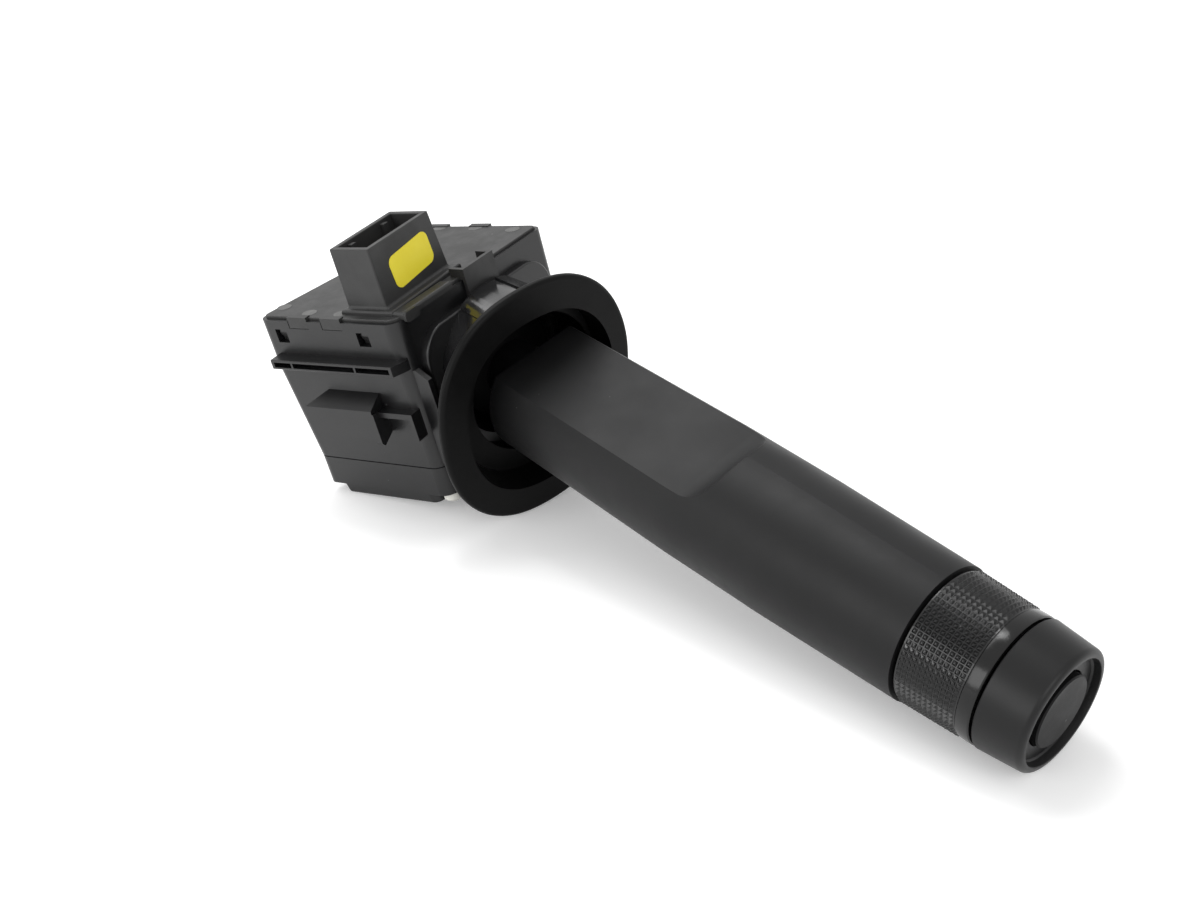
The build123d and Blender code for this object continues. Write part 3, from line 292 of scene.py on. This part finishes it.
def turned_ring(name, outline):
    """A closed ring round the lever: a cone between the first two places, drawn on place by place."""
    (back, back_r), (front, front_r) = outline[:2]
    deselect()
    bpy.ops.mesh.primitive_cone_add(
        vertices=FACETS_ROUND,
        radius1=back_r,
        radius2=front_r,
        depth=front - back,
        end_fill_type="NOTHING",
        location=(0, 0, (back + front) / 2),
    )
    ring = work_on(name)
    pick(ring, "EDGE", lambda edge: edge.is_boundary and edge.verts[0].co.z > 0)
    for (here, here_r), (there, there_r) in zip(outline[1:], outline[2:]):
        bpy.ops.mesh.extrude_edges_move(TRANSFORM_OT_translate={"value": (0, 0, there - here)})
        bpy.ops.transform.resize(value=(there_r / here_r, there_r / here_r, 1), center_override=(0, 0, 0))
    close_ring(ring)
    bpy.ops.object.shade_smooth_by_angle(angle=SMOOTH_BELOW)
    return ring


def corner(centre_s, centre_r, drop_s, drop_r, steps):
    """Places on a rounded outer corner, from the side to the end face."""
    turns = [radians(90 * step / steps) for step in range(steps + 1)]
    return [(centre_s + drop_s * sin(turn), centre_r + drop_r * cos(turn)) for turn in turns]


def settle(piece, place, finish, body):
    """Sets the finished piece in its place, gives it its finish and lets it ride."""
    deselect()
    piece.select_set(True)
    bpy.context.view_layer.objects.active = piece
    piece.matrix_world = place @ piece.matrix_world
    bpy.ops.object.transform_apply(location=True, rotation=True, scale=True)
    piece.data.materials.clear()
    piece.data.materials.append(finish)
    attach(piece, body)


# The turning ring's knurl: square pyramids on a slightly coned band
POINTS_ROUND = 75
POINTS_ALONG = 11
POINT_H = 0.45 * MM
POINT_FLANK = 0.4 * MM
VALLEY = 0.1 * MM
MARGIN = 0.25 * MM
PAST_EDGE_BREAK = 0.35 * MM

ring_back, ring_front = reach_on_lever("knurled_ring")
ring_bore = radii_near("knurled_ring", ring_back, ON_FACE)[0]
back_r = radii_near("knurled_ring", ring_back + PAST_EDGE_BREAK, 2 * ON_FACE)[1]
front_r = radii_near("knurled_ring", ring_front - PAST_EDGE_BREAK, 2 * ON_FACE)[1]
band_length = ring_front - ring_back - 2 * MARGIN

deselect()
bpy.ops.mesh.primitive_cone_add(
    vertices=POINTS_ROUND,
    radius1=back_r - POINT_H,
    radius2=front_r - POINT_H,
    depth=band_length,
    end_fill_type="NOTHING",
    location=(0, 0, (ring_back + ring_front) / 2),
)
knurl = work_on("knurl_band")
pick(knurl, "EDGE", lambda edge: abs(edge.verts[0].co.z - edge.verts[1].co.z) > band_length / 2)
bpy.ops.mesh.subdivide(number_cuts=POINTS_ALONG - 1)
pick(knurl, "FACE", lambda face: True)
bpy.ops.mesh.inset(thickness=VALLEY, use_individual=True)
bpy.ops.mesh.inset(thickness=POINT_FLANK, depth=POINT_H, use_individual=True)
for end, radius in ((-1, back_r), (1, front_r)):
    pick(knurl, "EDGE", lambda edge: edge.is_boundary and edge.verts[0].co.z * end > 0)
    bpy.ops.mesh.extrude_edges_move(TRANSFORM_OT_translate={"value": (0, 0, end * MARGIN)})
    bpy.ops.mesh.extrude_edges_move()
    inward = ring_bore / (radius - POINT_H)
    bpy.ops.transform.resize(value=(inward, inward, 1))
close_ring(knurl)
settle(knurl, LEVER_PLACE, finishes["ring_black"], "ring")
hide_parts("knurled_ring")

# The end cap: a rounded nose, a crisp lip and a dish with a steep wall round the button
LIP_R = 12.2 * MM
LIP_EDGE = 0.12 * MM
CREST = 0.25 * MM
NOSE_LONG = 1.3 * MM
NOSE_PROUD = 0.05 * MM
NOSE_STEPS = 7
DISH_DEEP = 1.9 * MM
WALL_DRAFT = 0.25 * MM
FILLET = 0.35 * MM
WEB_DEEP = 4.55 * MM
SPIGOT_LONG = 0.5 * MM
SKIRT_BREAK = 0.25 * MM

# Stations of the solid cap at which its radii are read
BORE_AT = 2.4 * MM
BORE_SLACK = 2.5 * MM
SIDE_AT = 1.7 * MM
SKIRT_AT = 0.3 * MM

cap_back, cap_front = reach_on_lever("end_cap")
skirt = cap_back + SPIGOT_LONG
web = cap_front - WEB_DEEP
dish = cap_front - DISH_DEEP
cap_bore = radii_near("end_cap", cap_front - BORE_AT, BORE_SLACK)[0]
nose_bore, spigot_r = radii_near("end_cap", cap_back, ON_FACE)
skirt_r = radii_near("end_cap", skirt + SKIRT_AT, ON_FACE)[1]
side_r = radii_near("end_cap", cap_front - SIDE_AT, ON_FACE)[1]
wall_r = LIP_R - LIP_EDGE - WALL_DRAFT
nose_drop = side_r + NOSE_PROUD - LIP_R - CREST
cap = turned_ring(
    "cap_shell",
    [
        (skirt + SKIRT_BREAK, skirt_r),
        *corner(cap_front - NOSE_LONG, LIP_R + CREST, NOSE_LONG, nose_drop, NOSE_STEPS),
        (cap_front, LIP_R),
        (cap_front - LIP_EDGE, LIP_R - LIP_EDGE),
        (dish + FILLET, wall_r),
        (dish, wall_r - FILLET),
        (dish, cap_bore + LIP_EDGE),
        (dish - LIP_EDGE, cap_bore),
        (web, cap_bore),
        (web, nose_bore),
        (cap_back, nose_bore),
        (cap_back, spigot_r),
        (skirt, spigot_r),
        (skirt, skirt_r - SKIRT_BREAK),
    ],
)
settle(cap, LEVER_PLACE, finishes["cap_black"], "lever")
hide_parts("end_cap")

# The polished shoulder behind the cap, very slightly crowned with broken edges
EDGE_BREAK = 0.25 * MM
CROWN = 0.06 * MM
BAND_SLACK = 1.7 * MM

band_back, band_front = reach_on_lever("shoulder_ring")
band_middle = (band_back + band_front) / 2
band_bore, band_r = radii_near("shoulder_ring", band_middle, BAND_SLACK)
edge_r = band_r - CROWN
band = turned_ring(
    "shoulder_band",
    [
        (band_back + EDGE_BREAK, edge_r),
        (band_back + 2 * EDGE_BREAK, band_r - CROWN / 2),
        (band_middle, band_r),
        (band_front - 2 * EDGE_BREAK, band_r - CROWN / 2),
        (band_front - EDGE_BREAK, edge_r),
        (band_front, edge_r - EDGE_BREAK),
        (band_front, band_bore),
        (band_back, band_bore),
        (band_back, edge_r - EDGE_BREAK),
    ],
)
settle(band, LEVER_PLACE, finishes["shoulder_gloss"], "ring")
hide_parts("shoulder_ring")

# Pale ejector marks on the lid: shallow ovals in a near and a far row
LID_TOP = 0.056
MARK_SPOTS = [
    (-0.0214, -0.0249), (-0.0093, -0.0277), (0.0021, -0.0275),
    (-0.0074, 0.0290), (0.0061, 0.0288), (0.0205, 0.0274),
]
MARK_FACETS = 28
MARK_R = 2.3 * MM
MARK_OVAL = 0.78
MARK_SUNK = 0.1 * MM
MARK_PROUD = 0.05 * MM
MARK_RIM = 0.25 * MM
MARK_DISH = 0.03 * MM
FACING_UP = 0.9

marks = []
for x, y in MARK_SPOTS:
    deselect()
    if not marks:
        bpy.ops.mesh.primitive_cylinder_add(
            vertices=MARK_FACETS,
            radius=MARK_R,
            depth=MARK_SUNK + MARK_PROUD,
            location=(x, y, LID_TOP + (MARK_PROUD - MARK_SUNK) / 2),
        )
        mark = work_on("lid_mark")
        pick(mark, "FACE", lambda face: face.normal.z > FACING_UP)
        bpy.ops.mesh.inset(thickness=MARK_RIM, depth=-MARK_DISH)
        bpy.ops.object.mode_set(mode="OBJECT")
        bpy.ops.transform.resize(value=(1, MARK_OVAL, 1))
    else:
        marks[0].select_set(True)
        bpy.context.view_layer.objects.active = marks[0]
        bpy.ops.object.duplicate()
        mark = bpy.context.object
        mark.location.xy = x, y
    marks.append(mark)
deselect()
for mark in marks:
    mark.select_set(True)
bpy.context.view_layer.objects.active = marks[0]
bpy.ops.object.join()
marks[0].name = "lid_marks"
settle(marks[0], Matrix(), finishes["mark_grey"], "housing")


# The floor touches the cover, the bezel and the cap, on which the object lies
FLOOR_NORMAL = Vector((0.1166, 0.1074, 0.9874)).normalized()
FLOOR_POINT = Vector((0.1861, -0.0587, -0.0208))
FLOOR_SIZE = 8

deselect()
bpy.ops.mesh.primitive_plane_add(size=FLOOR_SIZE)
floor = bpy.context.object
floor.name = "floor"
floor.rotation_euler = FLOOR_NORMAL.to_track_quat("Z", "Y").to_euler()
floor.location = FLOOR_POINT


def seen_direct(tree):
    """One for rays from the camera, and for those that a surface mirrors or lets through."""
    rays = tree.nodes.new("ShaderNodeLightPath")
    total = rays.outputs["Is Camera Ray"]
    for kind in ("Is Glossy Ray", "Is Transmission Ray"):
        both = tree.nodes.new("ShaderNodeMath")
        both.operation = "MAXIMUM"
        tree.links.new(total, both.inputs[0])
        tree.links.new(rays.outputs[kind], both.inputs[1])
        total = both.outputs["Value"]
    return total


# The paper glows a little, and more so further out, where it has to meet a white background
PAPER_TONE = 0.9
PAPER_ROUGH = 0.9
GLOW_NEAR = 0.22
GLOW_FAR = 0.75
GLOW_STARTS = 0.15
GLOW_FULL = 0.9

paper, tree, shader, place = new_finish("studio_paper")
shader.inputs["Base Color"].default_value = (PAPER_TONE, PAPER_TONE, PAPER_TONE, 1)
shader.inputs["Roughness"].default_value = PAPER_ROUGH
shader.inputs["Specular IOR Level"].default_value = 0.0
shader.inputs["Emission Color"].default_value = (1, 1, 1, 1)
away = tree.nodes.new("ShaderNodeVectorMath")
away.operation = "LENGTH"
tree.links.new(place, away.inputs[0])
lift = spread(tree, away.outputs["Value"], GLOW_NEAR, GLOW_FAR, GLOW_STARTS, GLOW_FULL)
lifted = tree.nodes.new("ShaderNodeMath")
lifted.operation = "MULTIPLY"
tree.links.new(lift, lifted.inputs[0])
tree.links.new(seen_direct(tree), lifted.inputs[1])
tree.links.new(lifted.outputs["Value"], shader.inputs["Emission Strength"])
floor.data.materials.append(paper)

# The camera. The columns of its turn are its right, its up and the way back from what it sees.
SENSOR = 36.0
FOCAL_PIXELS = 1300.0
FRAME_PIXELS = 1200.0
CAMERA_PLACE = (0.2466, -0.2479, 0.1716)
CAMERA_TURN = Matrix((
    (0.8355, -0.0836, 0.5431),
    (0.5025, 0.5163, -0.6935),
    (-0.2225, 0.8523, 0.4734),
))

camera_data = bpy.data.cameras.new("camera")
camera_data.sensor_width = SENSOR
camera_data.lens = SENSOR * FOCAL_PIXELS / FRAME_PIXELS
camera_data.clip_start = 0.01
camera = bpy.data.objects.new("camera", camera_data)
camera.matrix_world = Matrix.Translation(CAMERA_PLACE) @ CAMERA_TURN.to_4x4()
bpy.context.scene.collection.objects.link(camera)
bpy.context.scene.camera = camera

# The lamps, in metres and watts, and the plain white world
MIDDLE = Vector((0.08, -0.02, 0.02))
WORLD_LIGHT = 0.55
WORLD_SEEN = 1.0


def softbox(name, direction, distance, size, power):
    """A wide lamp that faces the middle of the object from a direction."""
    lamp = bpy.data.lights.new(name, "AREA")
    lamp.shape = "RECTANGLE"
    lamp.size, lamp.size_y = size
    lamp.energy = power
    box = bpy.data.objects.new(name, lamp)
    heading = Vector(direction).normalized()
    box.location = MIDDLE + heading * distance
    box.rotation_euler = heading.to_track_quat("Z", "Y").to_euler()
    bpy.context.scene.collection.objects.link(box)


softbox("overhead", (-0.4, 0.3, 1.0), distance=0.9, size=(0.7, 0.6), power=4.0)
softbox("glint", (-0.012, 0.241, 0.971), distance=0.9, size=(0.2, 0.16), power=0.9)
softbox("window_side", (-0.4, -1.0, 0.6), distance=1.2, size=(0.8, 0.6), power=5.0)
softbox("front", (1.0, -0.55, 0.75), distance=1.2, size=(0.8, 0.6), power=4.0)

world = bpy.data.worlds.new("studio")
bpy.context.scene.world = world
world.use_nodes = True
sky = world.node_tree.nodes["Background"]
sky.inputs["Color"].default_value = (1, 1, 1, 1)
level = spread(world.node_tree, seen_direct(world.node_tree), WORLD_LIGHT, WORLD_SEEN, 0.0, 1.0)
world.node_tree.links.new(level, sky.inputs["Strength"])

bpy.context.scene.view_settings.view_transform = "Standard"
